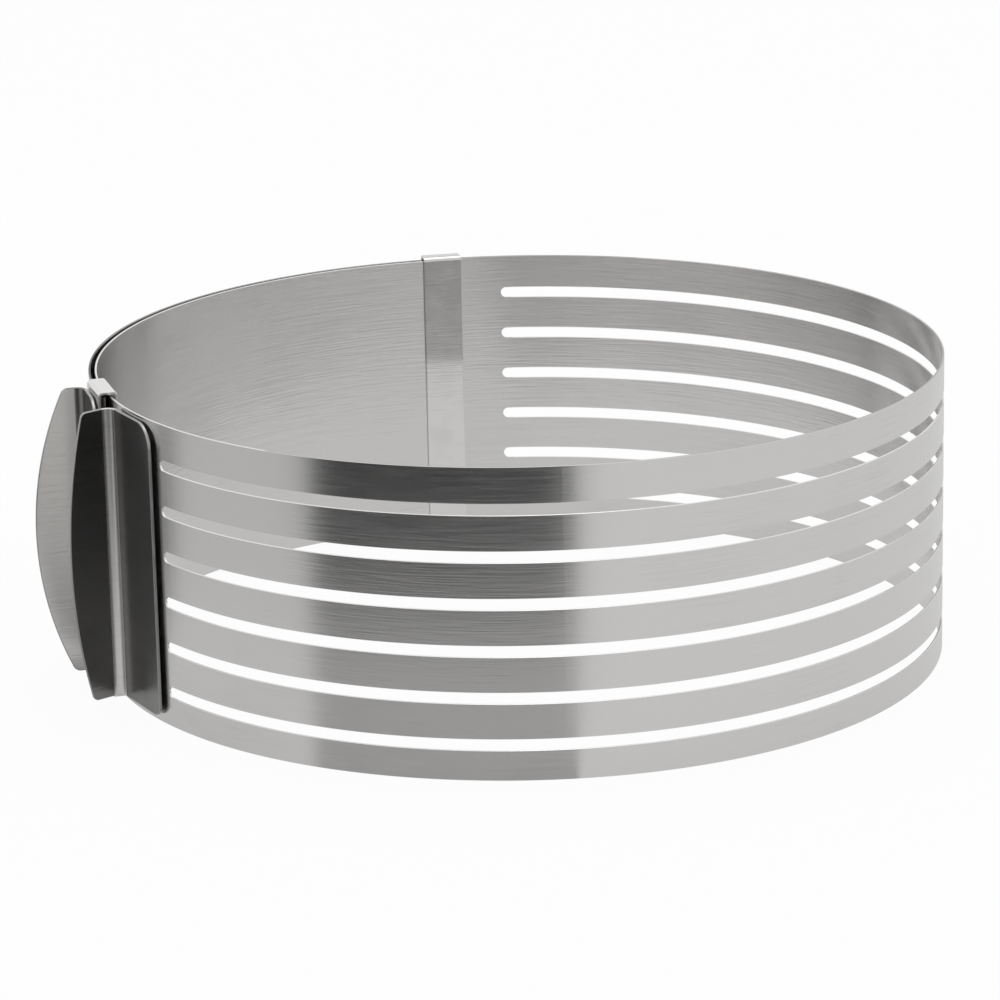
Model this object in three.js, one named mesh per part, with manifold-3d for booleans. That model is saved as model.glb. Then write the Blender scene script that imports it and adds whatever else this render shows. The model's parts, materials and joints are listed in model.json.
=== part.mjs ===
// Adjustable cake slicing ring. One strip of spring steel is rolled into a ring whose ends overlap. Six slots
// leave seven blades that guide a knife. Two clips hold the sliding ends together, and two bent grips pull them.
// Millimetres, +Z up. Places round the ring are angles in degrees, counter-clockwise from +X seen from above.
import * as THREE from "three";
import { mergeVertices } from "three/addons/utils/BufferGeometryUtils.js";
import Module from "manifold-3d";

const wasm = await Module();
wasm.setup();

const { degToRad, radToDeg, clamp } = THREE.MathUtils;

// Strip
const INNER_DIAMETER = 240; // across the inner faces, with the ring closed
const STRIP_THICKNESS = 0.6;
const LAYER_GAP = 1.2; // between the two layers where the ends overlap
const TOP_BLADE_HEIGHT = 10;
const BLADE_HEIGHT = 9.8;
const BOTTOM_BLADE_HEIGHT = 8.4;
const SLOT_HEIGHT = 3.2;
const SLOT_COUNT = 6;
const SLOTS_BACK_END = 92;
const SLOTS_FRONT_END = -144.5;

// Lengths of the strip, which turn on each other as it bends
const SLOTTED_LENGTHS = 6;
const OUTER_END_LENGTHS = 6;
const INNER_END_LENGTHS = 6;
const LENGTH_GAP = 0.3; // between neighbouring lengths
const FACET_ANGLE = 4;

// Grips
const GRIP_THICKNESS = 0.9;
const GRIP_BOTTOM_MARGIN = 1.9; // from the strip's lower edge
const GRIP_TOP_MARGIN = 1.2; // from the strip's upper edge
const GRIP_BEND_RADIUS = 2.8; // middle of the sheet
const GRIP_TOP_CORNER_RADIUS = 7;
const GRIP_BOTTOM_CORNER_RADIUS = 3.6;
const FLANGE_DEPTH = 16; // at the middle of its bowed edge
const FRONT_WING_WIDTH = 25.1;
const FRONT_FLANGE_END_DEPTH = 10.4;
const FRONT_FLANGE_LEAN = 12; // degrees from square to the wing
const REAR_WING_OVERHANG = 2; // past the clip that it is welded to
const REAR_FLANGE_END_DEPTH = 6.5;
const REAR_FLANGE_LEAN = 0;
const GRIP_TO_SLOTS = 2.4; // from the front grip to the ends of the slots
const REST_GAP = 5.7; // from the front grip to the strip's outer end

// Clips
const CLIP_THICKNESS = 0.8;
const CLIP_LIP = 4;
const OUTER_CLIP_WIDTH = 16;
const INNER_CLIP_WIDTH = 11.6;
const CLIP_SETBACK = 0.6; // from the end of the strip that carries it
const INNER_END_TO_SLOTS = 12; // from the strip's inner end to the slots in the layer outside it

// Clearances
const SEAT = 0.3; // between pieces that are welded together
const RUNNING_CLEARANCE = 1.1; // beside a layer that slides through a clip
const EDGE_CLEARANCE = 0.4; // above and below a layer that slides through a clip

// Worked out from the sizes above
const STRIP_HEIGHT =
  TOP_BLADE_HEIGHT +
  BOTTOM_BLADE_HEIGHT +
  BLADE_HEIGHT * (SLOT_COUNT - 1) +
  SLOT_HEIGHT * SLOT_COUNT;
const STRIP_BOTTOM = CLIP_THICKNESS + EDGE_CLEARANCE;
const STRIP_TOP = STRIP_BOTTOM + STRIP_HEIGHT;
const LAYER_STEP = STRIP_THICKNESS + LAYER_GAP;
const INNER_LAYER_RADIUS = (INNER_DIAMETER + STRIP_THICKNESS) / 2; // middle of the sheet
const OUTER_LAYER_RADIUS = INNER_LAYER_RADIUS + LAYER_STEP;
const INNER_FACE = INNER_LAYER_RADIUS - STRIP_THICKNESS / 2;
const INNER_LAYER_BACK = INNER_LAYER_RADIUS + STRIP_THICKNESS / 2;
const OUTER_FACE = OUTER_LAYER_RADIUS + STRIP_THICKNESS / 2;
const arcAngle = (length) => radToDeg(length / INNER_LAYER_RADIUS);

// Blades and plain ends part where the round ends of the slots begin.
const BLADES_BACK_END = SLOTS_BACK_END - arcAngle(SLOT_HEIGHT / 2);
const BLADES_FRONT_END = SLOTS_FRONT_END + arcAngle(SLOT_HEIGHT / 2);
const FRONT_WING_CENTRE =
  SLOTS_FRONT_END - arcAngle(GRIP_TO_SLOTS + FRONT_WING_WIDTH / 2);
const OUTER_END =
  360 +
  SLOTS_FRONT_END -
  arcAngle(GRIP_TO_SLOTS + FRONT_WING_WIDTH + REST_GAP);
const OUTER_CLIP_CENTRE =
  OUTER_END - arcAngle(CLIP_SETBACK + OUTER_CLIP_WIDTH / 2);
const REAR_WING_WIDTH = OUTER_CLIP_WIDTH + REAR_WING_OVERHANG;
const REAR_WING_CENTRE =
  OUTER_END - arcAngle(CLIP_SETBACK + REAR_WING_WIDTH / 2);
const INNER_END = SLOTS_BACK_END - 360 + arcAngle(INNER_END_TO_SLOTS);
const INNER_CLIP_CENTRE =
  INNER_END + arcAngle(CLIP_SETBACK + INNER_CLIP_WIDTH / 2);

const stainless = new THREE.MeshStandardMaterial({
  color: 0xb8b6b3,
  metalness: 1,
  roughness: 0.32,
});

// Middle of the sheet: the outer end lies one layer further out, and the slotted stretch draws in by that step.
function stripRadius(angle) {
  const drawnIn =
    (BLADES_BACK_END - angle) / (BLADES_BACK_END - BLADES_FRONT_END);
  return OUTER_LAYER_RADIUS - LAYER_STEP * clamp(drawnIn, 0, 1);
}

function solidOf(geometry) {
  const bare = geometry.clone();
  bare.deleteAttribute("normal");
  bare.deleteAttribute("uv");
  const merged = mergeVertices(bare);
  return new wasm.Manifold(
    new wasm.Mesh({
      numProp: 3,
      vertProperties: new Float32Array(merged.attributes.position.array),
      triVerts: new Uint32Array(merged.index.array),
    }),
  );
}

function geometryOf(solid) {
  const mesh = solid.getMesh();
  return new THREE.BufferGeometry()
    .setAttribute(
      "position",
      new THREE.BufferAttribute(mesh.vertProperties, mesh.numProp),
    )
    .setIndex(new THREE.BufferAttribute(mesh.triVerts, 1));
}

function steelMesh(name, geometry) {
  const mesh = new THREE.Mesh(geometry, stainless);
  mesh.name = name;
  return mesh;
}

// A bent plate of the strip between two angles (from > to) and two heights, as a closed grid of facets.
function bentPlate(from, to, low, high) {
  const steps = Math.ceil((from - to) / FACET_ANGLE);
  const positions = [];
  for (let i = 0; i <= steps; i++) {
    const angle = from + ((to - from) * i) / steps;
    const [cos, sin] = [Math.cos(degToRad(angle)), Math.sin(degToRad(angle))];
    const inner = stripRadius(angle) - STRIP_THICKNESS / 2;
    const outer = stripRadius(angle) + STRIP_THICKNESS / 2;
    for (const [radius, z] of [
      [inner, low],
      [outer, low],
      [outer, high],
      [inner, high],
    ])
      positions.push(radius * cos, radius * sin, z);
  }
  const corners = 4;
  const triangles = [0, 2, 1, 0, 3, 2];
  for (let i = 0; i < steps; i++)
    for (let k = 0; k < corners; k++) {
      const a = i * corners + k;
      const b = i * corners + ((k + 1) % corners);
      triangles.push(a, b, a + corners, b, b + corners, a + corners);
    }
  const last = steps * corners;
  triangles.push(last, last + 1, last + 2, last, last + 2, last + 3);
  return new THREE.BufferGeometry()
    .setAttribute("position", new THREE.Float32BufferAttribute(positions, 3))
    .setIndex(triangles);
}

// Half-round slot ends, cut into the edge of a plain end that faces the blades.
function cutSlotEnds(plate, edge) {
  const cutterLength = LAYER_STEP + 4 * STRIP_THICKNESS;
  const sides = 16;
  const cutter = new THREE.CylinderGeometry(
    SLOT_HEIGHT / 2,
    SLOT_HEIGHT / 2,
    cutterLength,
    sides,
  );
  cutter.rotateZ(Math.PI / 2).translate(stripRadius(edge), 0, 0);
  cutter.rotateZ(degToRad(edge));
  let solid = solidOf(plate);
  for (let slot = 0; slot < SLOT_COUNT; slot++) {
    const middle =
      STRIP_BOTTOM +
      BOTTOM_BLADE_HEIGHT +
      SLOT_HEIGHT / 2 +
      slot * (BLADE_HEIGHT + SLOT_HEIGHT);
    solid = solid.subtract(solidOf(cutter.clone().translate(0, 0, middle)));
  }
  return geometryOf(solid);
}

// Lower and upper edge of a blade, counted from the top.
function bladeHeights(blade) {
  if (blade === 1) return [STRIP_TOP - TOP_BLADE_HEIGHT, STRIP_TOP];
  const high =
    STRIP_TOP -
    TOP_BLADE_HEIGHT -
    SLOT_HEIGHT -
    (blade - 2) * (BLADE_HEIGHT + SLOT_HEIGHT);
  if (blade > SLOT_COUNT) return [STRIP_BOTTOM, high];
  return [high - BLADE_HEIGHT, high];
}

function slottedLengths() {
  const group = new THREE.Group();
  const turn = (BLADES_BACK_END - BLADES_FRONT_END) / SLOTTED_LENGTHS;
  const halfGap = arcAngle(LENGTH_GAP / 2);
  for (let length = 1; length <= SLOTTED_LENGTHS; length++) {
    const from = BLADES_BACK_END - (length - 1) * turn - halfGap;
    const to = BLADES_BACK_END - length * turn + halfGap;
    for (let blade = 1; blade <= SLOT_COUNT + 1; blade++) {
      const plate = bentPlate(from, to, ...bladeHeights(blade));
      group.add(steelMesh(`blade_${blade}_length_${length}`, plate));
    }
  }
  return group;
}

// A plain end of the strip, from the blades to its free end, in equal lengths counted from the blades.
function plainEnd(name, blades, end, count) {
  const group = new THREE.Group();
  const turn = (end - blades) / count;
  const halfGap = Math.sign(turn) * arcAngle(LENGTH_GAP / 2);
  for (let length = 1; length <= count; length++) {
    const near = blades + (length - 1) * turn + halfGap;
    const far = blades + length * turn - (length < count ? halfGap : 0);
    let plate = bentPlate(
      Math.max(near, far),
      Math.min(near, far),
      STRIP_BOTTOM,
      STRIP_TOP,
    );
    if (length === 1) plate = cutSlotEnds(plate, blades);
    group.add(steelMesh(`${name}_length_${length}`, plate));
  }
  return group;
}

// Stands a piece that is drawn with X outwards and Y along the strip at its angle round the ring.
function placedAt(angle, mesh) {
  const group = new THREE.Group();
  group.rotation.z = degToRad(angle);
  group.add(mesh);
  return group;
}

// Outline of a sheet in plan, offset to both sides of its middle line: flat wing, bend, then flange.
function bracketPlan(wingWidth, lean, reach) {
  const half = GRIP_THICKNESS / 2;
  const bendSteps = 8;
  const bendEnd = -wingWidth / 2 + half + GRIP_BEND_RADIUS;
  const stations = [[0, wingWidth / 2, -90]];
  for (let i = 0; i <= bendSteps; i++) {
    const heading = -90 + ((90 + lean) * i) / bendSteps;
    const x = GRIP_BEND_RADIUS * (1 - Math.cos(degToRad(heading + 90)));
    const y = bendEnd - GRIP_BEND_RADIUS * Math.sin(degToRad(heading + 90));
    stations.push([x, y, heading]);
  }
  const [x, y] = stations.at(-1);
  const length = reach / Math.cos(degToRad(lean));
  stations.push([
    x + length * Math.cos(degToRad(lean)),
    y + length * Math.sin(degToRad(lean)),
    lean,
  ]);
  const side = (sign) =>
    stations.map(
      ([px, py, heading]) =>
        new THREE.Vector2(
          px + half - sign * half * Math.sin(degToRad(heading)),
          py + sign * half * Math.cos(degToRad(heading)),
        ),
    );
  return new THREE.Shape([...side(-1), ...side(1).reverse()]);
}

// Side view of a grip: the flange's free edge bows outwards between its two ends.
function flangeOutline(height, back, endDepth) {
  const rise = FLANGE_DEPTH - endDepth;
  const radius = (height * height) / 4 / (2 * rise) + rise / 2;
  const centre = FLANGE_DEPTH - radius;
  const sweep = Math.asin(height / 2 / radius);
  const outline = new THREE.Shape();
  outline.moveTo(back, 0);
  outline.lineTo(endDepth, 0);
  outline.absarc(centre, height / 2, radius, -sweep, sweep, false);
  outline.lineTo(back, height);
  return outline;
}

// Front view of a grip: the wing's free corners are round.
function wingOutline(height, wingWidth) {
  const edge = wingWidth / 2;
  const low = GRIP_BOTTOM_CORNER_RADIUS;
  const high = GRIP_TOP_CORNER_RADIUS;
  const outline = new THREE.Shape();
  outline.moveTo(-wingWidth - FLANGE_DEPTH, 0);
  outline.lineTo(edge - low, 0);
  outline.absarc(edge - low, low, low, -Math.PI / 2, 0, false);
  outline.absarc(edge - high, height - high, high, 0, Math.PI / 2, false);
  outline.lineTo(-wingWidth - FLANGE_DEPTH, height);
  return outline;
}

// A bent grip whose wing lies against a seat at the given distance from the ring's axis.
function grip(name, angle, seatRadius, wingWidth, endDepth, lean) {
  const height = STRIP_HEIGHT - GRIP_BOTTOM_MARGIN - GRIP_TOP_MARGIN;
  const width = 2 * (wingWidth + FLANGE_DEPTH);
  const arcSteps = { bevelEnabled: false, curveSegments: 12 };
  const bracket = new THREE.ExtrudeGeometry(
    bracketPlan(wingWidth, lean, FLANGE_DEPTH + GRIP_THICKNESS),
    { depth: height, bevelEnabled: false },
  );
  const flangeCut = new THREE.ExtrudeGeometry(
    flangeOutline(height, -GRIP_THICKNESS, endDepth),
    { depth: width, ...arcSteps },
  );
  flangeCut.rotateX(Math.PI / 2).translate(0, width / 2, 0);
  const wingCut = new THREE.ExtrudeGeometry(wingOutline(height, wingWidth), {
    depth: width,
    ...arcSteps,
  });
  wingCut.rotateX(Math.PI / 2).rotateZ(Math.PI / 2);
  wingCut.translate(-GRIP_THICKNESS, 0, 0);
  const reachedWing = solidOf(bracket).intersect(solidOf(flangeCut));
  const geometry = geometryOf(reachedWing.intersect(solidOf(wingCut)));
  geometry.translate(seatRadius, 0, STRIP_BOTTOM + GRIP_BOTTOM_MARGIN);
  return placedAt(angle, steelMesh(name, geometry));
}

// A folded strap: a wall of the full height on one side of the strip, and hooks with lips on the other side.
function clip(name, angle, width, wallFace, lipFace) {
  const top = STRIP_TOP + EDGE_CLEARANCE + CLIP_THICKNESS;
  const towardsLip = Math.sign(lipFace - wallFace) * CLIP_THICKNESS;
  const wallBack = wallFace - towardsLip;
  const lipBack = lipFace + towardsLip;
  const hook = CLIP_THICKNESS + CLIP_LIP;
  const outline = [
    [wallBack, 0],
    [lipBack, 0],
    [lipBack, hook],
    [lipFace, hook],
    [lipFace, CLIP_THICKNESS],
    [wallFace, CLIP_THICKNESS],
    [wallFace, top - CLIP_THICKNESS],
    [lipFace, top - CLIP_THICKNESS],
    [lipFace, top - hook],
    [lipBack, top - hook],
    [lipBack, top],
    [wallBack, top],
  ].map(([x, z]) => new THREE.Vector2(x, z));
  const geometry = new THREE.ExtrudeGeometry(new THREE.Shape(outline), {
    depth: width,
    bevelEnabled: false,
  });
  geometry.rotateX(Math.PI / 2).translate(0, width / 2, 0);
  return placedAt(angle, steelMesh(name, geometry));
}

// How far a curved face falls away from a straight edge of the given width that touches its middle.
function sagitta(width, radius) {
  return radius - Math.sqrt(radius * radius - (width * width) / 4);
}

const ring = new THREE.Group();
ring.name = "cake_slicing_ring";

ring.add(slottedLengths());
ring.add(
  plainEnd("outer_end", BLADES_BACK_END, OUTER_END, OUTER_END_LENGTHS),
  plainEnd("inner_end", BLADES_FRONT_END, INNER_END, INNER_END_LENGTHS),
);

const outerClipWall = OUTER_FACE + SEAT;
ring.add(
  clip(
    "outer_end_clip",
    OUTER_CLIP_CENTRE,
    OUTER_CLIP_WIDTH,
    outerClipWall,
    INNER_FACE - sagitta(OUTER_CLIP_WIDTH, INNER_FACE) - RUNNING_CLEARANCE,
  ),
  clip(
    "inner_end_clip",
    INNER_CLIP_CENTRE,
    INNER_CLIP_WIDTH,
    INNER_FACE - sagitta(INNER_CLIP_WIDTH, INNER_FACE) - SEAT,
    OUTER_FACE + RUNNING_CLEARANCE,
  ),
  grip(
    "rear_grip",
    REAR_WING_CENTRE,
    outerClipWall + CLIP_THICKNESS + SEAT,
    REAR_WING_WIDTH,
    REAR_FLANGE_END_DEPTH,
    REAR_FLANGE_LEAN,
  ),
  grip(
    "front_grip",
    FRONT_WING_CENTRE,
    INNER_LAYER_BACK + SEAT,
    FRONT_WING_WIDTH,
    FRONT_FLANGE_END_DEPTH,
    FRONT_FLANGE_LEAN,
  ),
);

// The origin is the middle of the footprint, on the surface that the ring stands on.
const bounds = new THREE.Box3().setFromObject(ring, true);
const middle = bounds.getCenter(new THREE.Vector3());
ring.position.set(-middle.x, -middle.y, -bounds.min.z);

export default ring;
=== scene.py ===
"""Looks of an adjustable cake slicing ring: a slotted strip of spring steel, two clips and two bent grips.

Metres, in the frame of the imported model. Places round the ring are angles in degrees, counter-clockwise
from +X about the ring's own axis. The strip runs clockwise from its outer end, through the slots, to its
inner end.
"""
import json
import math

import bmesh
import bpy
from mathutils import Matrix, Vector

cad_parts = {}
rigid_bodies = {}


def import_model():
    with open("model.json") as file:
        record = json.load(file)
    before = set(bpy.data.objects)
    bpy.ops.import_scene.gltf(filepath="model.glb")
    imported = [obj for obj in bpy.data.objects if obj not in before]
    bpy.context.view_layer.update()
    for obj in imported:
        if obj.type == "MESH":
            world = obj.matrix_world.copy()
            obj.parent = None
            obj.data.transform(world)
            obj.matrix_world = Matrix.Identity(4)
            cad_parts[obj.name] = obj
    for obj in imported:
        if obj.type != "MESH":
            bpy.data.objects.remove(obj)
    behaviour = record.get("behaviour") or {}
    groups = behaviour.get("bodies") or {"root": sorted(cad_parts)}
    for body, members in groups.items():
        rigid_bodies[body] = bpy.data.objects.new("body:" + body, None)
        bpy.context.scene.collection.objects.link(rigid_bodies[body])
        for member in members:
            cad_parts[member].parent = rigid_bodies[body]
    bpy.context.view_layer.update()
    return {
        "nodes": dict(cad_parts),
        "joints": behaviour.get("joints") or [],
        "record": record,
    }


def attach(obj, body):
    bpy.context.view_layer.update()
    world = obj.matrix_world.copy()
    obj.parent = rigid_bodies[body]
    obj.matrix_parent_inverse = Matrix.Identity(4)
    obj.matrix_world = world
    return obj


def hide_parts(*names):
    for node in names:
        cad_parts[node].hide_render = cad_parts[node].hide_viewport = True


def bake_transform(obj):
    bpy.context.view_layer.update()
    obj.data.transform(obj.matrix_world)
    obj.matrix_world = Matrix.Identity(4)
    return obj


MM = 0.001

# Strip
SHEET = 0.6 * MM
LAYER_STEP = 1.8 * MM  # from one overlapping layer to the other
INNER_LAYER = 120.3 * MM  # middle of the sheet, from the ring's axis
OUTER_LAYER = INNER_LAYER + LAYER_STEP
STRIP_LOW = 1.2 * MM
BLADE_HEIGHTS = [8.4 * MM, *[9.8 * MM] * 5, 10 * MM]  # from the lowest blade up
SLOT = 3.2 * MM
STRIP_HIGH = STRIP_LOW + sum(BLADE_HEIGHTS) + SLOT * (len(BLADE_HEIGHTS) - 1)
SLOTS_BACK_END = 92
SLOTS_FRONT_END = -144.5
SLOT_ROOT = 1.6 * MM  # of blade that is cut together with the round end of its slot
EDGE_ROUND = 0.12 * MM
EDGE_FACING = 0.4  # least upward or downward slope of a cut edge
FACET = 0.75  # degrees of the ring
INNER_FACE = INNER_LAYER - SHEET / 2
OUTER_FACE = OUTER_LAYER + SHEET / 2
STRIP_MIDDLE = (STRIP_LOW + STRIP_HIGH) / 2
LENGTHS = 6  # of the slotted stretch, and of each plain end
SLOT_ROUND = SLOT / 2 * 0.9999  # so that the two rounded corners don't quite meet
CUTTER_REACH = 3 * SLOT_ROOT
CUTTER_DEPTH = 4 * SHEET

# Clips
CLIP_SHEET = 0.8 * MM
CLIP_FOLD = 0.9 * MM  # middle of the sheet
CLIP_LIP = 4 * MM
CLIP_EDGE = 0.14 * MM
EDGE_CLEARANCE = 0.4 * MM
RUNNING_CLEARANCE = 1.1 * MM
SEAT = 0.3 * MM
OUTER_CLIP = 16 * MM
INNER_CLIP = 11.6 * MM
CLIP_SETBACK = 0.6 * MM
TOP_DARKENING_FROM = (53 * MM, 58 * MM)  # heights between which the inner clip's colour turns darker

# Grips
GRIP_SHEET = 0.9 * MM
GRIP_LOW = STRIP_LOW + 1.9 * MM
GRIP_HIGH = STRIP_HIGH - 1.2 * MM
GRIP_BEND = 2.8 * MM  # middle of the sheet
GRIP_TOP_CORNER = 7 * MM
GRIP_BOTTOM_CORNER = 3.6 * MM
FLANGE_DEPTH = 16 * MM
FLANGE_CORNER = 1.4 * MM
FRONT_WING = 25.1 * MM
FRONT_FLANGE_END = 10.4 * MM
FRONT_LEAN = 12
REAR_WING = 18 * MM
REAR_FLANGE_END = 6.5 * MM
REAR_LEAN = 0
GRIP_TO_SLOTS = 2.4 * MM
GRIP_EDGE = 0.22 * MM

# Steps of round edges, corners and folds, and how close a point counts as being in a place
EDGE_STEPS = 2
CORNER_STEPS = 10
FOLD_STEPS = 8
BEND_STEPS = 14
FLANGE_CORNER_STEPS = 5
BOW_STEPS = 320  # of the whole circle that bows a flange
SHARP = 50  # least angle of an edge that is rounded
SMOOTH = 16  # largest angle between faces that are shaded as one
SAME_PLACE = 0.001 * MM
NEAR_BEND = 0.01 * MM
NEAR = 0.02 * MM
NEAR_RIM = 0.05 * MM
NEAR_CORNER = 0.3 * MM

# Brushing of the steel: streaks to the metre along and across it, and their detail
FINE_STREAKS = (60, 2000, 1)
BROAD_STREAKS = (9, 600, 2)
STREAK_GRAIN = 0.6
FINE_SHARE = 0.6  # of the streaks' tone; the rest is broad
CLOUD_DETAIL = 3
FINE_DULLING = 0.08  # most that streaks and clouds add to the roughness
CLOUD_DULLING = 0.06
GLOSS = 0.06  # taken off the roughness before they do
RELIEF = 0.03 * MM
STRIP_WARMTH = 0.012
SHEET_WARMTH = 0.015

# Photograph's view
VIEW_DISTANCE = 1.3
VIEW_ELEVATION = 16.191
VIEW_ROLL = -1.188
VIEW_RIGHT = 5.814 * MM
VIEW_UP = 0.609 * MM
VIEW_FOCAL = 4.4995  # in widths of the image
VIEW_NEAREST = 0.05
VIEW_FURTHEST = 50
SENSOR = 36

# Floor, studio and lamp
FLOOR_SIZE = 12
FLOOR_GREY = 0.68
FLOOR_WHITE_SHARE = 0.95  # seen from the camera; the rest shows shadows
FLOOR_MIRRORED_GREY = 0.72
FLOOR_MIRRORED_SHARE = 0.8
STUDIO_LIGHT = 0.95
SOFTBOX_PLACE = Vector((0.1, 0.1, 1.6))
SOFTBOX_TARGET = Vector((0, 0, 0.05))
SOFTBOX_SIZE = 1.0
SOFTBOX_WATTS = 6

# Dark card before the ring: bearings from its apex, in degrees from -Y towards +X, and distances
CARD_SIZE = (2.4, 1.85)
CARD_CENTRE = Vector((-0.3, -0.575, 1 * MM))  # from the ring's axis
CARD_GREY = 0.02
CARD_APEX = Vector((1.5 * MM, -70 * MM, 0))  # from the ring's axis
CARD_LEFT = (-61, -55)
CARD_RIGHT = (12, 15)
CARD_BEYOND = 0.22  # of the cover, further left
CARD_FADE = (0.12, 0.33)
CARD_COVER = (0.42, 0.985)  # at those two distances
CARD_END = (-113, -107)
SIDE_RISE = (-106, -97)  # beside the grips
SIDE_COVER = 0.5
SIDE_FADE = (0.1, 0.13)

# Numbers of the sockets that mix two colours
MIX_FACTOR = 0
MIX_FIRST = 6
MIX_SECOND = 7
MIX_RESULT = 2

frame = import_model()


def arc_angle(length):
    return math.degrees(length / INNER_LAYER)


def polar(radius, angle, height=0.0):
    return Vector(
        (
            radius * math.cos(math.radians(angle)),
            radius * math.sin(math.radians(angle)),
            height,
        )
    )


def joint_between(body_a, body_b):
    return next(j for j in frame["joints"] if {j["parent"], j["child"]} == {body_a, body_b})


def ring_axis():
    """Centre of the circle through three hinges of the outer end, all at one distance from the axis."""
    a, b, c = (
        Vector(joint_between(f"outer_end_{k}", f"outer_end_{k + 1}")["pos_m"]).xy
        for k in (1, 3, 5)
    )
    ab, ac = b - a, c - a
    twice_area = 2 * ab.cross(ac)
    across = Vector((ac.y, -ac.x)) * ab.length_squared - Vector((ab.y, -ab.x)) * ac.length_squared
    return a + across / twice_area


AXIS = ring_axis()
AXIS_POINT = Vector((AXIS.x, AXIS.y, 0))
BLADES_BACK_END = SLOTS_BACK_END - arc_angle(SLOT / 2)
BLADES_FRONT_END = SLOTS_FRONT_END + arc_angle(SLOT / 2)
DRAW_IN = LAYER_STEP / math.radians(BLADES_BACK_END - BLADES_FRONT_END)


def deselect():
    if bpy.context.mode != "OBJECT":
        bpy.ops.object.mode_set(mode="OBJECT")
    bpy.ops.object.select_all(action="DESELECT")


def take(*objs):
    deselect()
    for obj in objs:
        obj.select_set(True)
    bpy.context.view_layer.objects.active = objs[0]


def shape(obj):
    take(obj)
    bpy.ops.object.mode_set(mode="EDIT")
    bpy.ops.mesh.select_mode(type="VERT")
    bpy.ops.mesh.select_all(action="SELECT")


def pick(kind, test):
    """Selects the points, edges or faces of the mesh in edit mode all of whose points pass the test."""
    bpy.ops.mesh.select_mode(type=kind)
    bpy.ops.mesh.select_all(action="DESELECT")
    mesh = bpy.context.edit_object.data
    body = bmesh.from_edit_mesh(mesh)
    elements = {"VERT": body.verts, "EDGE": body.edges, "FACE": body.faces}[kind]
    for element in elements:
        points = [element] if kind == "VERT" else element.verts
        if all(test(point.co) for point in points):
            element.select_set(True)
    body.select_flush_mode()
    bmesh.update_edit_mesh(mesh)


def near(value, target, slack=NEAR):
    return abs(value - target) < slack


def settle(obj, location=(0, 0, 0), turn=0.0):
    """Puts a piece in its place and keeps the place in its mesh."""
    obj.location = Vector(location)
    obj.rotation_euler = (0, 0, math.radians(turn))
    take(obj)
    bpy.ops.object.transform_apply(location=True, rotation=True, scale=True)


def upright(name, width, height, location, turn=0.0):
    """A standing rectangle, its width along the turned X axis."""
    deselect()
    bpy.ops.mesh.primitive_plane_add(
        size=1, location=location, rotation=(math.pi / 2, 0, math.radians(turn))
    )
    obj = bpy.context.object
    obj.name = name
    obj.scale = (width, height, 1)
    bpy.ops.object.transform_apply(location=True, rotation=True, scale=True)
    return obj


def join(*objs):
    take(*objs)
    bpy.ops.object.join()
    return bpy.context.object


def revolve(centre, axis, degrees, steps):
    """Spins what is selected, right-handed about the axis."""
    bpy.ops.mesh.spin(
        steps=steps, angle=-math.radians(degrees), center=tuple(centre), axis=tuple(axis)
    )


def draw_out(move):
    bpy.ops.mesh.extrude_region_move(TRANSFORM_OT_translate={"value": tuple(move)})


def face_outwards():
    bpy.ops.mesh.select_all(action="SELECT")
    bpy.ops.mesh.remove_doubles(threshold=SAME_PLACE)
    bpy.ops.mesh.normals_make_consistent(inside=False)


def modify(obj, kind, **settings):
    take(obj)
    bpy.ops.object.modifier_add(type=kind)
    modifier = obj.modifiers[-1]
    for key, value in settings.items():
        setattr(modifier, key, value)
    bpy.ops.object.modifier_apply(modifier=modifier.name)


def cut(obj, cutter, operation):
    modify(obj, "BOOLEAN", operation=operation, solver="EXACT", object=cutter)
    bpy.data.objects.remove(cutter)


def thicken(obj, sheet):
    modify(obj, "SOLIDIFY", thickness=sheet, offset=0, use_even_offset=True)


def ease_edges(obj, width):
    limit = math.radians(SHARP)
    modify(obj, "BEVEL", width=width, segments=EDGE_STEPS, limit_method="ANGLE", angle_limit=limit)


def smooth(obj):
    take(obj)
    bpy.ops.object.shade_smooth_by_angle(angle=math.radians(SMOOTH))


def dress(obj, *finishes):
    obj.data.materials.clear()
    for finish in finishes:
        obj.data.materials.append(finish)


# Strip


def strip_radius(angle):
    """Middle of the sheet: the slotted stretch draws in by one layer from outer end to inner end."""
    inside = (BLADES_BACK_END - angle) / (BLADES_BACK_END - BLADES_FRONT_END)
    return OUTER_LAYER - LAYER_STEP * min(max(inside, 0), 1)


def blade_spans():
    spans = []
    low = STRIP_LOW
    for height in BLADE_HEIGHTS:
        spans.append((low, low + height))
        low += height + SLOT
    return spans


def sweep_centre(start, end):
    """The slotted stretch is a spiral, followed by arcs whose centre lies a little beside the axis."""
    middle = (start + end) / 2
    if BLADES_FRONT_END < middle < BLADES_BACK_END:
        return polar(DRAW_IN, middle + 90)
    return Vector((0, 0, 0))


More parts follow.
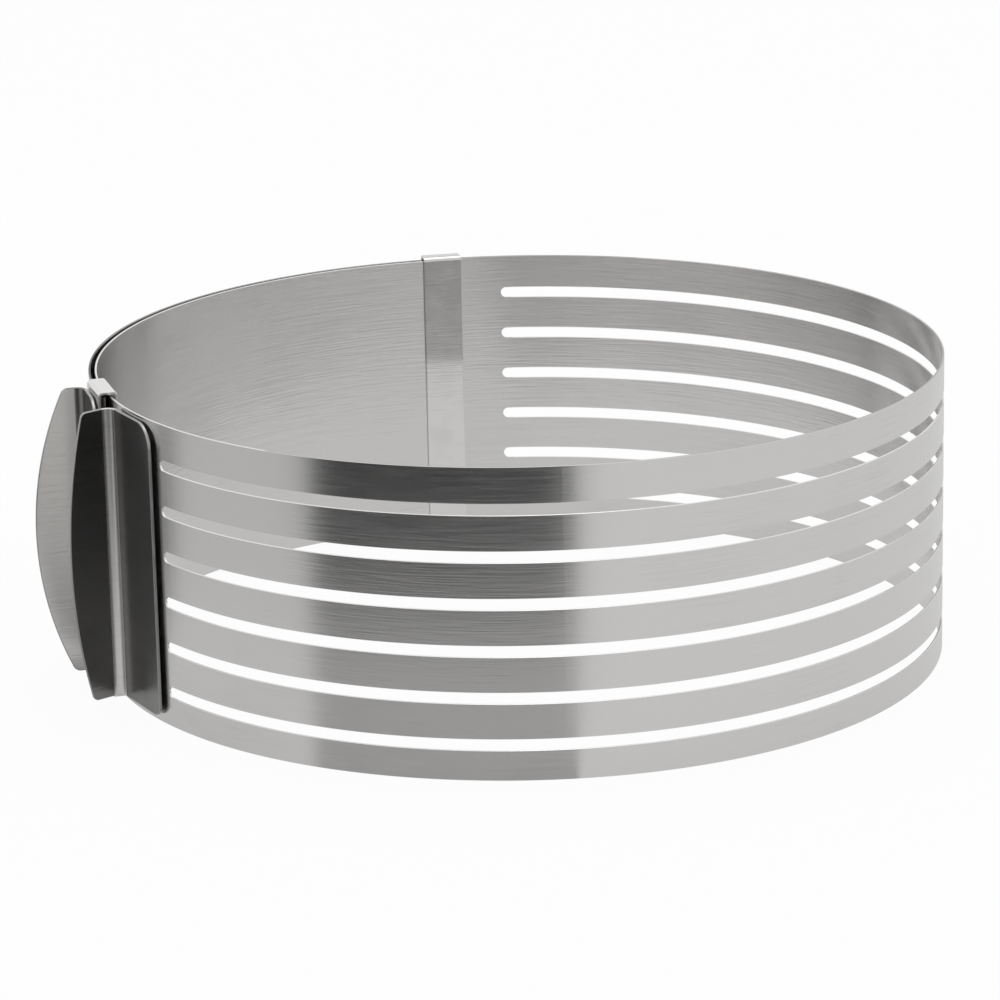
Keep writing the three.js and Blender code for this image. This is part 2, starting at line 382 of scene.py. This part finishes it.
def swept_sheet(name, start, end, spans):
    """Sheet swept clockwise from start to end, one strip of it for each pair of heights."""
    bounds = [start]
    bounds += [edge for edge in (BLADES_BACK_END, BLADES_FRONT_END) if end < edge < start]
    bounds.append(end)
    first = polar(strip_radius(start), start) - sweep_centre(bounds[0], bounds[1])
    turn = math.degrees(math.atan2(first.y, first.x))
    sections = [
        upright(name, SHEET, high - low, polar(strip_radius(start), start, (low + high) / 2), turn)
        for low, high in spans
    ]
    obj = join(*sections)
    shape(obj)
    bpy.ops.mesh.bevel(offset=EDGE_ROUND, segments=EDGE_STEPS, affect="VERTICES")
    bpy.ops.mesh.select_all(action="SELECT")
    for near_end, far_end in zip(bounds, bounds[1:]):
        centre = sweep_centre(near_end, far_end)
        arms = [polar(strip_radius(angle), angle) - centre for angle in (near_end, far_end)]
        swept = math.degrees(-arms[0].xy.angle_signed(arms[1].xy)) % -360
        revolve(centre, (0, 0, 1), swept, math.ceil((near_end - far_end) / FACET))
    face_outwards()
    deselect()
    obj.name = name
    return obj


def slot_cutters(edge, towards_blades):
    """Bars with one round end, which cut the ends of the slots out of the plain sheet."""
    bar = upright("slot_end", CUTTER_REACH + SLOT / 2, SLOT, (0, 0, 0), 90)
    settle(bar, (0, towards_blades * (CUTTER_REACH - SLOT / 2) / 2, 0))
    shape(bar)
    pick("VERT", lambda p: near(p.y, -towards_blades * SLOT / 2))
    bpy.ops.mesh.bevel(offset=SLOT_ROUND, segments=CORNER_STEPS, affect="VERTICES")
    bpy.ops.mesh.select_all(action="SELECT")
    draw_out((CUTTER_DEPTH, 0, 0))
    face_outwards()
    deselect()
    radius = strip_radius(edge) - CUTTER_DEPTH / 2
    bars = []
    for (_, high), (low, _) in zip(blade_spans(), blade_spans()[1:]):
        take(bar)
        bpy.ops.object.duplicate()
        copy = bpy.context.object
        settle(copy, polar(radius, edge, (low + high) / 2), edge)
        bars.append(copy)
    bpy.data.objects.remove(bar)
    return join(*bars)


def strip_piece(name, start, end):
    """A length of the strip, plain or slotted, or from one to the other across the ends of the slots."""
    plain = [(STRIP_LOW, STRIP_HIGH)]
    root = arc_angle(SLOT_ROOT)
    if end < BLADES_BACK_END < start:
        meet = BLADES_BACK_END - root
        sheet = swept_sheet(name, start, meet, plain)
        cut(sheet, slot_cutters(BLADES_BACK_END, -1), "DIFFERENCE")
        obj = join(sheet, swept_sheet(name + "_blades", meet, end, blade_spans()))
    elif end < BLADES_FRONT_END < start:
        meet = BLADES_FRONT_END + root
        sheet = swept_sheet(name, meet, end, plain)
        cut(sheet, slot_cutters(BLADES_FRONT_END, 1), "DIFFERENCE")
        obj = join(sheet, swept_sheet(name + "_blades", start, meet, blade_spans()))
    else:
        slotted = BLADES_FRONT_END < (start + end) / 2 < BLADES_BACK_END
        obj = swept_sheet(name, start, end, blade_spans() if slotted else plain)
    settle(obj, AXIS_POINT)
    smooth(obj)
    return obj


def far_angle(node, side):
    """Angle of a plain end's free edge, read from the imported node."""
    angles = []
    for vertex in frame["nodes"][node].data.vertices:
        spoke = vertex.co.xy - AXIS
        angles.append(math.degrees(math.atan2(spoke.y, spoke.x)) % 360)
    return max(angles) if side > 0 else min(angles) - 360


def strip_nodes(body):
    return [
        node
        for node in frame["record"]["behaviour"]["bodies"][body]
        if node.startswith(("blade_", "outer_end_length", "inner_end_length"))
    ]


def make_strip(steel, edge_steel, shaded_steel):
    lengths = range(1, LENGTHS + 1)
    bodies = [f"outer_end_{k}" for k in reversed(lengths)]
    bodies += [f"slotted_{k}" for k in lengths]
    bodies += [f"inner_end_{k}" for k in lengths]
    hinges = [far_angle(f"outer_end_length_{LENGTHS}", 1)]
    for body_a, body_b in zip(bodies, bodies[1:]):
        spoke = Vector(joint_between(body_a, body_b)["pos_m"]).xy - AXIS
        angle = math.degrees(math.atan2(spoke.y, spoke.x))
        while angle > hinges[-1]:
            angle -= 360
        while angle < hinges[-1] - 180:
            angle += 360
        hinges.append(angle)
    hinges.append(far_angle(f"inner_end_length_{LENGTHS}", -1))
    middles = [(a + b) / 2 for a, b in zip(hinges, hinges[1:])]
    tip = strip_piece("strip_outer_tip", hinges[0], middles[0])
    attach(tip, bodies[0])
    pieces = [tip]
    for k, (body_a, body_b) in enumerate(zip(bodies, bodies[1:])):
        name = f"strip_over_{body_a if k < LENGTHS else body_b}"
        obj = strip_piece(name, middles[k], middles[k + 1])
        start, end = (
            AXIS_POINT + polar(strip_radius(angle), angle, STRIP_MIDDLE)
            for angle in (middles[k], middles[k + 1])
        )
        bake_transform(obj)
        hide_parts(*strip_nodes(body_a))
        pieces.append(obj)
    tip = strip_piece("strip_inner_tip", middles[-1], hinges[-1])
    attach(tip, bodies[-1])
    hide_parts(*strip_nodes(bodies[-1]))
    pieces.append(tip)
    # Painted shade on the top rims: near black on the outer end, the darker edge steel on the slotted
    # stretch, plain steel on the inner end
    rims = {"outer": shaded_steel, "slotted": edge_steel, "inner": steel}
    for obj in pieces:
        rim_steel = next(rims[stretch] for stretch in rims if stretch in obj.name)
        dress(obj, steel, edge_steel, rim_steel)
        # Painted shade: downward-facing cut edges take the darker edge steel, and top rims take the rim
        # steel of their stretch
        for face in obj.data.polygons:
            if face.normal.z < -EDGE_FACING:
                face.material_index = 1
            elif face.normal.z > EDGE_FACING and face.center.z > STRIP_HIGH - SHEET:
                face.material_index = 2
    return hinges


# Clips


def sagitta(width):
    """How far the ring's inner face falls away behind a straight edge that touches its middle."""
    return INNER_FACE - math.sqrt(INNER_FACE * INNER_FACE - width * width / 4)


def make_clip(name, angle, width, wall, lip, steel):
    """A strap folded over the strip's upper and lower edge.

    The wall and the lip are given by their faces next to the strip.
    """
    towards = 1 if lip > wall else -1
    wall_middle = wall - towards * CLIP_SHEET / 2
    lip_middle = lip + towards * CLIP_SHEET / 2
    top = STRIP_HIGH + EDGE_CLEARANCE + CLIP_SHEET / 2
    low = STRIP_LOW - EDGE_CLEARANCE - CLIP_SHEET / 2
    middle = (top + low) / 2
    fold = top - CLIP_FOLD
    obj = upright(name, width, fold - middle, (wall_middle, 0, (fold + middle) / 2), 90)
    shape(obj)
    pick("EDGE", lambda p: near(p.z, fold))
    turn = (0, towards, 0)
    revolve((wall_middle + towards * CLIP_FOLD, 0, fold), turn, 90, FOLD_STEPS)
    draw_out((lip_middle - wall_middle - towards * 2 * CLIP_FOLD, 0, 0))
    revolve((lip_middle - towards * CLIP_FOLD, 0, fold), turn, 90, FOLD_STEPS)
    draw_out((0, 0, CLIP_FOLD - CLIP_LIP - CLIP_SHEET / 2))
    bpy.ops.mesh.select_all(action="SELECT")
    bpy.ops.mesh.duplicate()
    bpy.ops.transform.resize(value=(1, 1, -1), center_override=(0, 0, middle))
    face_outwards()
    deselect()
    thicken(obj, CLIP_SHEET)
    ease_edges(obj, CLIP_EDGE)
    settle(obj, AXIS_POINT, angle)
    smooth(obj)
    dress(obj, steel)
    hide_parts(name.replace("folded_", ""))
    return obj


# Grips


def make_grip(name, angle, seat, wing, flange_end, lean, steels):
    """A wing that lies on its seat, a round bend, and a flange whose free edge bows outwards."""
    sheet = seat + GRIP_SHEET / 2
    bend_start = -wing / 2 + GRIP_SHEET / 2 + GRIP_BEND
    height = GRIP_HIGH - GRIP_LOW
    middle = (GRIP_HIGH + GRIP_LOW) / 2
    obj = upright(
        name, wing / 2 - bend_start, height, (sheet, (wing / 2 + bend_start) / 2, middle), 90
    )
    shape(obj)
    for level, radius in ((GRIP_LOW, GRIP_BOTTOM_CORNER), (GRIP_HIGH, GRIP_TOP_CORNER)):
        pick("VERT", lambda p: near(p.y, wing / 2) and near(p.z, level))
        bpy.ops.mesh.bevel(offset=radius, segments=CORNER_STEPS, affect="VERTICES")
    pick("EDGE", lambda p: near(p.y, bend_start))
    revolve((sheet + GRIP_BEND, bend_start, 0), (0, 0, 1), 90 + lean, BEND_STEPS)
    draw_out(polar((FLANGE_DEPTH + GRIP_SHEET) / math.cos(math.radians(lean)), lean))
    face_outwards()
    deselect()
    thicken(obj, GRIP_SHEET)
    rise = FLANGE_DEPTH - flange_end
    bow = height * height / 8 / rise + rise / 2
    deselect()
    bpy.ops.mesh.primitive_cylinder_add(
        vertices=BOW_STEPS,
        radius=bow,
        depth=4 * wing,
        location=(seat + FLANGE_DEPTH - bow, 0, middle),
        rotation=(math.pi / 2, 0, 0),
    )
    cut(obj, bpy.context.object, "INTERSECT")
    shape(obj)
    bpy.ops.mesh.remove_doubles(threshold=SAME_PLACE)
    corner = seat + flange_end

    def at_corner(p):
        at_rim = near(p.z, GRIP_LOW, NEAR_RIM) or near(p.z, GRIP_HIGH, NEAR_RIM)
        return at_rim and near(p.x, corner, NEAR_CORNER)

    pick("EDGE", at_corner)
    bpy.ops.mesh.bevel(offset=FLANGE_CORNER, segments=FLANGE_CORNER_STEPS, affect="EDGES")
    deselect()
    ease_edges(obj, GRIP_EDGE)
    # Each part of the grip takes its own steel: lit and shaded copies of one steel, with painted light and
    # painted shade
    dress(obj, *(steels[part] for part in ("edge", "back", "wing", "flange", "fold")))
    fold_axis = Vector((sheet + GRIP_BEND, bend_start))
    flange_face = polar(1, lean + 90).xy

    def before_flange(p):
        return (p.xy - fold_axis).dot(flange_face) + GRIP_BEND

    def on_back(p):
        return near(p.x, seat) or near(before_flange(p), -GRIP_SHEET / 2)

    def on_wing(p):
        return near(p.x, seat + GRIP_SHEET)

    def on_flange(p):
        return near(before_flange(p), GRIP_SHEET / 2)

    def on_fold(p):
        return p.y < bend_start + NEAR_BEND and (p.xy - fold_axis).length < GRIP_BEND + GRIP_SHEET

    shape(obj)
    for index, test in enumerate((on_back, on_wing, on_flange, on_fold), 1):
        pick("FACE", test)
        obj.active_material_index = index
        bpy.ops.object.material_slot_assign()
    deselect()
    settle(obj, AXIS_POINT, angle)
    smooth(obj)
    return obj


# Materials


class Wire:
    """A socket whose arithmetic adds Math nodes."""

    def __init__(self, finish, socket):
        self.finish = finish
        self.socket = socket

    def maths(self, operation, *values):
        return self.finish.add("ShaderNodeMath", {"operation": operation}, dict(enumerate(values)))

    def __add__(self, other):
        return self.maths("ADD", self, other)

    def __radd__(self, other):
        return self.maths("ADD", other, self)

    def __sub__(self, other):
        return self.maths("SUBTRACT", self, other)

    def __rsub__(self, other):
        return self.maths("SUBTRACT", other, self)

    def __mul__(self, other):
        return self.maths("MULTIPLY", self, other)

    def __rmul__(self, other):
        return self.maths("MULTIPLY", other, self)


class Finish:
    """A node material, or the world, under construction."""

    def __init__(self, name, world=None):
        owner = world or bpy.data.materials.new(name)
        owner.use_nodes = True
        self.owner = owner
        self.tree = owner.node_tree
        self.tree.nodes.clear()

    def add(self, kind, settings=None, inputs=None, output=0):
        """Adds a node: settings first, then values or wires of its sockets, by name or number."""
        node = self.tree.nodes.new(kind)
        for key, value in (settings or {}).items():
            setattr(node, key, value)
        for key, value in (inputs or {}).items():
            if isinstance(value, Wire):
                self.tree.links.new(value.socket, node.inputs[key])
            else:
                node.inputs[key].default_value = value
        if not node.outputs:
            return None
        return Wire(self, node.outputs[output])


def grey(value, warmth=0.0):
    return (value * (1 + warmth), value, value * (1 - warmth), 1)


def ramp(value, low, high, start=0, end=1):
    """Goes smoothly from start to end while the value goes from low to high."""
    return value.finish.add(
        "ShaderNodeMapRange",
        {"interpolation_type": "SMOOTHSTEP"},
        {"Value": value, "From Min": low, "From Max": high, "To Min": start, "To Max": end},
    )


def brushed_steel(name, colour, roughness, streak=0.32, blotch=0.16, spread=22, top_darkening=0):
    """Stainless steel with fine level streaks in colour, gloss and relief, and with cloudy blotches.

    The last argument is the share of its tone that the upper part loses: its colour turns darker towards
    the top.
    """
    finish = Finish(name)
    place = finish.add("ShaderNodeTexCoord", output="Object")

    def streaks(along, across, detail):
        stretched = finish.add(
            "ShaderNodeMapping", {}, {"Vector": place, "Scale": (along, along, across)}
        )
        return finish.add(
            "ShaderNodeTexNoise",
            {},
            {"Vector": stretched, "Scale": 1, "Detail": detail, "Roughness": STREAK_GRAIN},
        )

    fine = streaks(*FINE_STREAKS)
    broad = streaks(*BROAD_STREAKS)
    cloud = finish.add(
        "ShaderNodeTexNoise", {}, {"Vector": place, "Scale": spread, "Detail": CLOUD_DETAIL}
    )
    brushing = FINE_SHARE * fine + (1 - FINE_SHARE) * broad
    tone = 1 - streak / 2 - blotch / 2 + streak * brushing + blotch * cloud
    if top_darkening:
        height = finish.add("ShaderNodeSeparateXYZ", {}, {0: place}, output="Z")
        tone = tone * (1 - top_darkening * ramp(height, *TOP_DARKENING_FROM))
    tinted = finish.add(
        "ShaderNodeMix",
        {"data_type": "RGBA", "blend_type": "MIX"},
        {MIX_FACTOR: tone, MIX_FIRST: grey(0), MIX_SECOND: colour},
        output=MIX_RESULT,
    )
    rough = roughness - GLOSS + FINE_DULLING * fine + CLOUD_DULLING * cloud
    relief = finish.add("ShaderNodeBump", {}, {"Strength": 1.0, "Distance": RELIEF, "Height": fine})
    steel = finish.add(
        "ShaderNodeBsdfPrincipled",
        {},
        {"Base Color": tinted, "Metallic": 1.0, "Roughness": rough, "Normal": relief},
    )
    finish.add("ShaderNodeOutputMaterial", {}, {"Surface": steel})
    return finish.owner


def ray_kind(finish, kind):
    return finish.add("ShaderNodeLightPath", output=kind)


# Stage


def make_floor():
    deselect()
    bpy.ops.mesh.primitive_plane_add(size=FLOOR_SIZE)
    floor = bpy.context.object
    floor.name = "floor"
    finish = Finish("floor_white")
    matt = finish.add("ShaderNodeBsdfDiffuse", {}, {"Color": grey(FLOOR_GREY)})
    white = finish.add("ShaderNodeEmission", {}, {"Color": grey(1.0), "Strength": 1.0})
    pale = finish.add(
        "ShaderNodeEmission", {}, {"Color": grey(FLOOR_MIRRORED_GREY), "Strength": 1.0}
    )
    seen = ray_kind(finish, "Is Camera Ray")
    mirrored = ray_kind(finish, "Is Glossy Ray") + ray_kind(finish, "Is Transmission Ray")
    bright = finish.add("ShaderNodeMixShader", {}, {0: FLOOR_WHITE_SHARE * seen, 1: matt, 2: white})
    mirror_share = FLOOR_MIRRORED_SHARE * mirrored
    bright = finish.add("ShaderNodeMixShader", {}, {0: mirror_share, 1: bright, 2: pale})
    finish.add("ShaderNodeOutputMaterial", {}, {"Surface": bright})
    dress(floor, finish.owner)


def make_studio():
    world =bpy.data.worlds.new("studio")
    bpy.context.scene.world = world
    finish = Finish("studio", world)
    lit = finish.add("ShaderNodeBackground", {}, {"Color": grey(1.0), "Strength": STUDIO_LIGHT})
    white = finish.add("ShaderNodeBackground", {}, {"Color": grey(1.0), "Strength": 1.0})
    shown = (
        ray_kind(finish, "Is Camera Ray")
        + ray_kind(finish, "Is Glossy Ray")
        + ray_kind(finish, "Is Transmission Ray")
    )
    backdrop = finish.add("ShaderNodeMixShader", {}, {0: shown, 1: lit, 2: white})
    finish.add("ShaderNodeOutputWorld", {}, {"Surface": backdrop})


def make_dark_card():
    """A dark card on the floor before the ring, which only the steel mirrors.

    It is a wedge that fades towards the ring, with a softer part beside the grips.
    """
    deselect()
    bpy.ops.mesh.primitive_plane_add(size=1)
    card = bpy.context.object
    card.name = "dark_card"
    card.scale = (*CARD_SIZE, 1)
    card.location = AXIS_POINT + CARD_CENTRE
    bpy.ops.object.transform_apply(location=True, rotation=True, scale=True)
    card.visible_camera = False
    card.visible_diffuse = False
    card.visible_shadow = False
    card.visible_transmission = False
    finish = Finish("card_black")
    place = finish.add("ShaderNodeTexCoord", output="Object")
    offset = finish.add(
        "ShaderNodeVectorMath", {"operation": "SUBTRACT"}, {0: place, 1: AXIS_POINT + CARD_APEX}
    )
    parts = [finish.add("ShaderNodeSeparateXYZ", {}, {0: offset}, output=axis) for axis in "XY"]
    bearing = parts[0].maths("ARCTAN2", parts[0], 0 - parts[1])
    distance = finish.add("ShaderNodeVectorMath", {"operation": "LENGTH"}, {0: offset}, output="Value")

    def by_bearing(limits, start, end):
        return ramp(bearing, *map(math.radians, limits), start, end)

    left = by_bearing(CARD_LEFT, CARD_BEYOND, 1)
    right = by_bearing(CARD_RIGHT, 1, 0)
    front = left * right * ramp(distance, *CARD_FADE, *CARD_COVER)
    side = by_bearing(SIDE_RISE, SIDE_COVER, 0) * ramp(distance, *SIDE_FADE)
    cover = (front + side) * by_bearing(CARD_END, 0, 1)
    dark = finish.add("ShaderNodeEmission", {}, {"Color": grey(CARD_GREY), "Strength": 1.0})
    clear = finish.add("ShaderNodeBsdfTransparent")
    mixed = finish.add("ShaderNodeMixShader", {}, {0: cover, 1: clear, 2: dark})
    finish.add("ShaderNodeOutputMaterial", {}, {"Surface": mixed})
    dress(card, finish.owner)


def make_softbox():
    deselect()
    bpy.ops.object.light_add(type="AREA", location=SOFTBOX_PLACE)
    lamp = bpy.context.object
    lamp.name = "overhead_softbox"
    lamp.data.shape = "SQUARE"
    lamp.data.size = SOFTBOX_SIZE
    lamp.data.energy = SOFTBOX_WATTS
    aim = SOFTBOX_TARGET - SOFTBOX_PLACE
    lamp.rotation_euler = aim.to_track_quat("-Z", "Y").to_euler()


def make_camera():
    elevation, roll = math.radians(VIEW_ELEVATION), math.radians(VIEW_ROLL)
    right = Vector((1, 0, 0))
    up = Vector((0, math.sin(elevation), math.cos(elevation)))
    back = Vector((0, -math.cos(elevation), math.sin(elevation)))
    centre = AXIS_POINT + Vector((0, 0, STRIP_MIDDLE))
    place = centre + back * VIEW_DISTANCE - right * VIEW_RIGHT - up * VIEW_UP
    rolled_right = math.cos(roll) * right + math.sin(roll) * up
    rolled_up = math.cos(roll) * up - math.sin(roll) * right
    deselect()
    bpy.ops.object.camera_add()
    camera = bpy.context.object
    camera.matrix_world = Matrix.Translation(place) @ Matrix(
        (rolled_right, rolled_up, back)
    ).transposed().to_4x4()
    camera.data.sensor_width = SENSOR
    camera.data.lens = VIEW_FOCAL * SENSOR
    camera.data.clip_start = VIEW_NEAREST
    camera.data.clip_end = VIEW_FURTHEST
    bpy.context.scene.camera = camera


strip_steel = brushed_steel(
    "strip_steel", grey(0.73, STRIP_WARMTH), roughness=0.2, streak=0.2, blotch=0.24
)
# Painted shade: a darker copy of the strip steel on cut edges, undersides, slotted top rims and grip
# edges, standing in for their shade
edge_steel = brushed_steel("edge_steel", grey(0.36, STRIP_WARMTH), roughness=0.3)
# Painted shade: a near-black copy of the strip steel for the outer end's top rim, standing in for its
# shade
shaded_steel = brushed_steel("shaded_steel", grey(0.08, STRIP_WARMTH), roughness=0.35)
clip_steel = brushed_steel("clip_steel", grey(0.7, SHEET_WARMTH), roughness=0.2)
# The strap's colour turns darker towards the top
strap_steel = brushed_steel(
    "strap_steel", grey(0.78, SHEET_WARMTH), roughness=0.16, streak=0.1, blotch=0.34, spread=110, top_darkening=0.3
)
grip_steel = brushed_steel("grip_steel", grey(0.66, SHEET_WARMTH), roughness=0.22)
# Painted sheen: a lighter copy of the grip steel on the rear flange and the front grip's back
bright_steel = brushed_steel("bright_steel", grey(0.8, SHEET_WARMTH), roughness=0.22)
# Painted highlight: a lighter copy of the grip steel on the front grip's bend
fold_steel = brushed_steel("fold_steel", grey(0.72, SHEET_WARMTH), roughness=0.3)
# Painted shade: a dark copy of the grip steel on the faces inside the grips' bends, standing in for their
# shade and dark reflections
inside_steel = brushed_steel(
    "inside_steel", grey(0.24, SHEET_WARMTH), roughness=0.22, blotch=0.5, spread=70
)

strip_angles = make_strip(strip_steel, edge_steel, shaded_steel)
outer_end = strip_angles[0]
inner_end = strip_angles[-1]

outer_clip = make_clip(
    "folded_outer_end_clip",
    outer_end - arc_angle(CLIP_SETBACK + OUTER_CLIP / 2),
    OUTER_CLIP,
    OUTER_FACE + SEAT,
    INNER_FACE - sagitta(OUTER_CLIP) - RUNNING_CLEARANCE,
    clip_steel,
)
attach(outer_clip, "outer_end_6")
inner_clip = make_clip(
    "folded_inner_end_clip",
    inner_end + arc_angle(CLIP_SETBACK + INNER_CLIP / 2),
    INNER_CLIP,
    INNER_FACE - sagitta(INNER_CLIP) - SEAT,
    OUTER_FACE + RUNNING_CLEARANCE,
    strap_steel,
)
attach(inner_clip, "inner_end_6")

rear_grip = make_grip(
    "bent_rear_grip",
    outer_end - arc_angle(CLIP_SETBACK + REAR_WING / 2),
    OUTER_FACE + 2 * SEAT + CLIP_SHEET,
    REAR_WING,
    REAR_FLANGE_END,
    REAR_LEAN,
    # Rear grip: painted sheen on the flange, painted shade on the wing and the bend
    {
        "edge": edge_steel,
        "back": grip_steel,
        "wing": inside_steel,
        "flange": bright_steel,
        "fold": inside_steel,
    },
)
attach(rear_grip, "outer_end_6")
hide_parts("rear_grip")
front_grip = make_grip(
    "bent_front_grip",
    SLOTS_FRONT_END - arc_angle(GRIP_TO_SLOTS + FRONT_WING / 2),
    INNER_LAYER + SHEET / 2 + SEAT,
    FRONT_WING,
    FRONT_FLANGE_END,
    FRONT_LEAN,
    # Front grip: painted sheen on the back, painted shade on the wing and the flange, painted highlight on
    # the bend
    {
        "edge": edge_steel,
        "back": bright_steel,
        "wing": inside_steel,
        "flange": inside_steel,
        "fold": fold_steel,
    },
)
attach(front_grip, "inner_end_1")
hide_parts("front_grip")

make_floor()
make_studio()
make_dark_card()
make_softbox()
make_camera()

scene = bpy.context.scene
scene.view_settings.view_transform = "Standard"
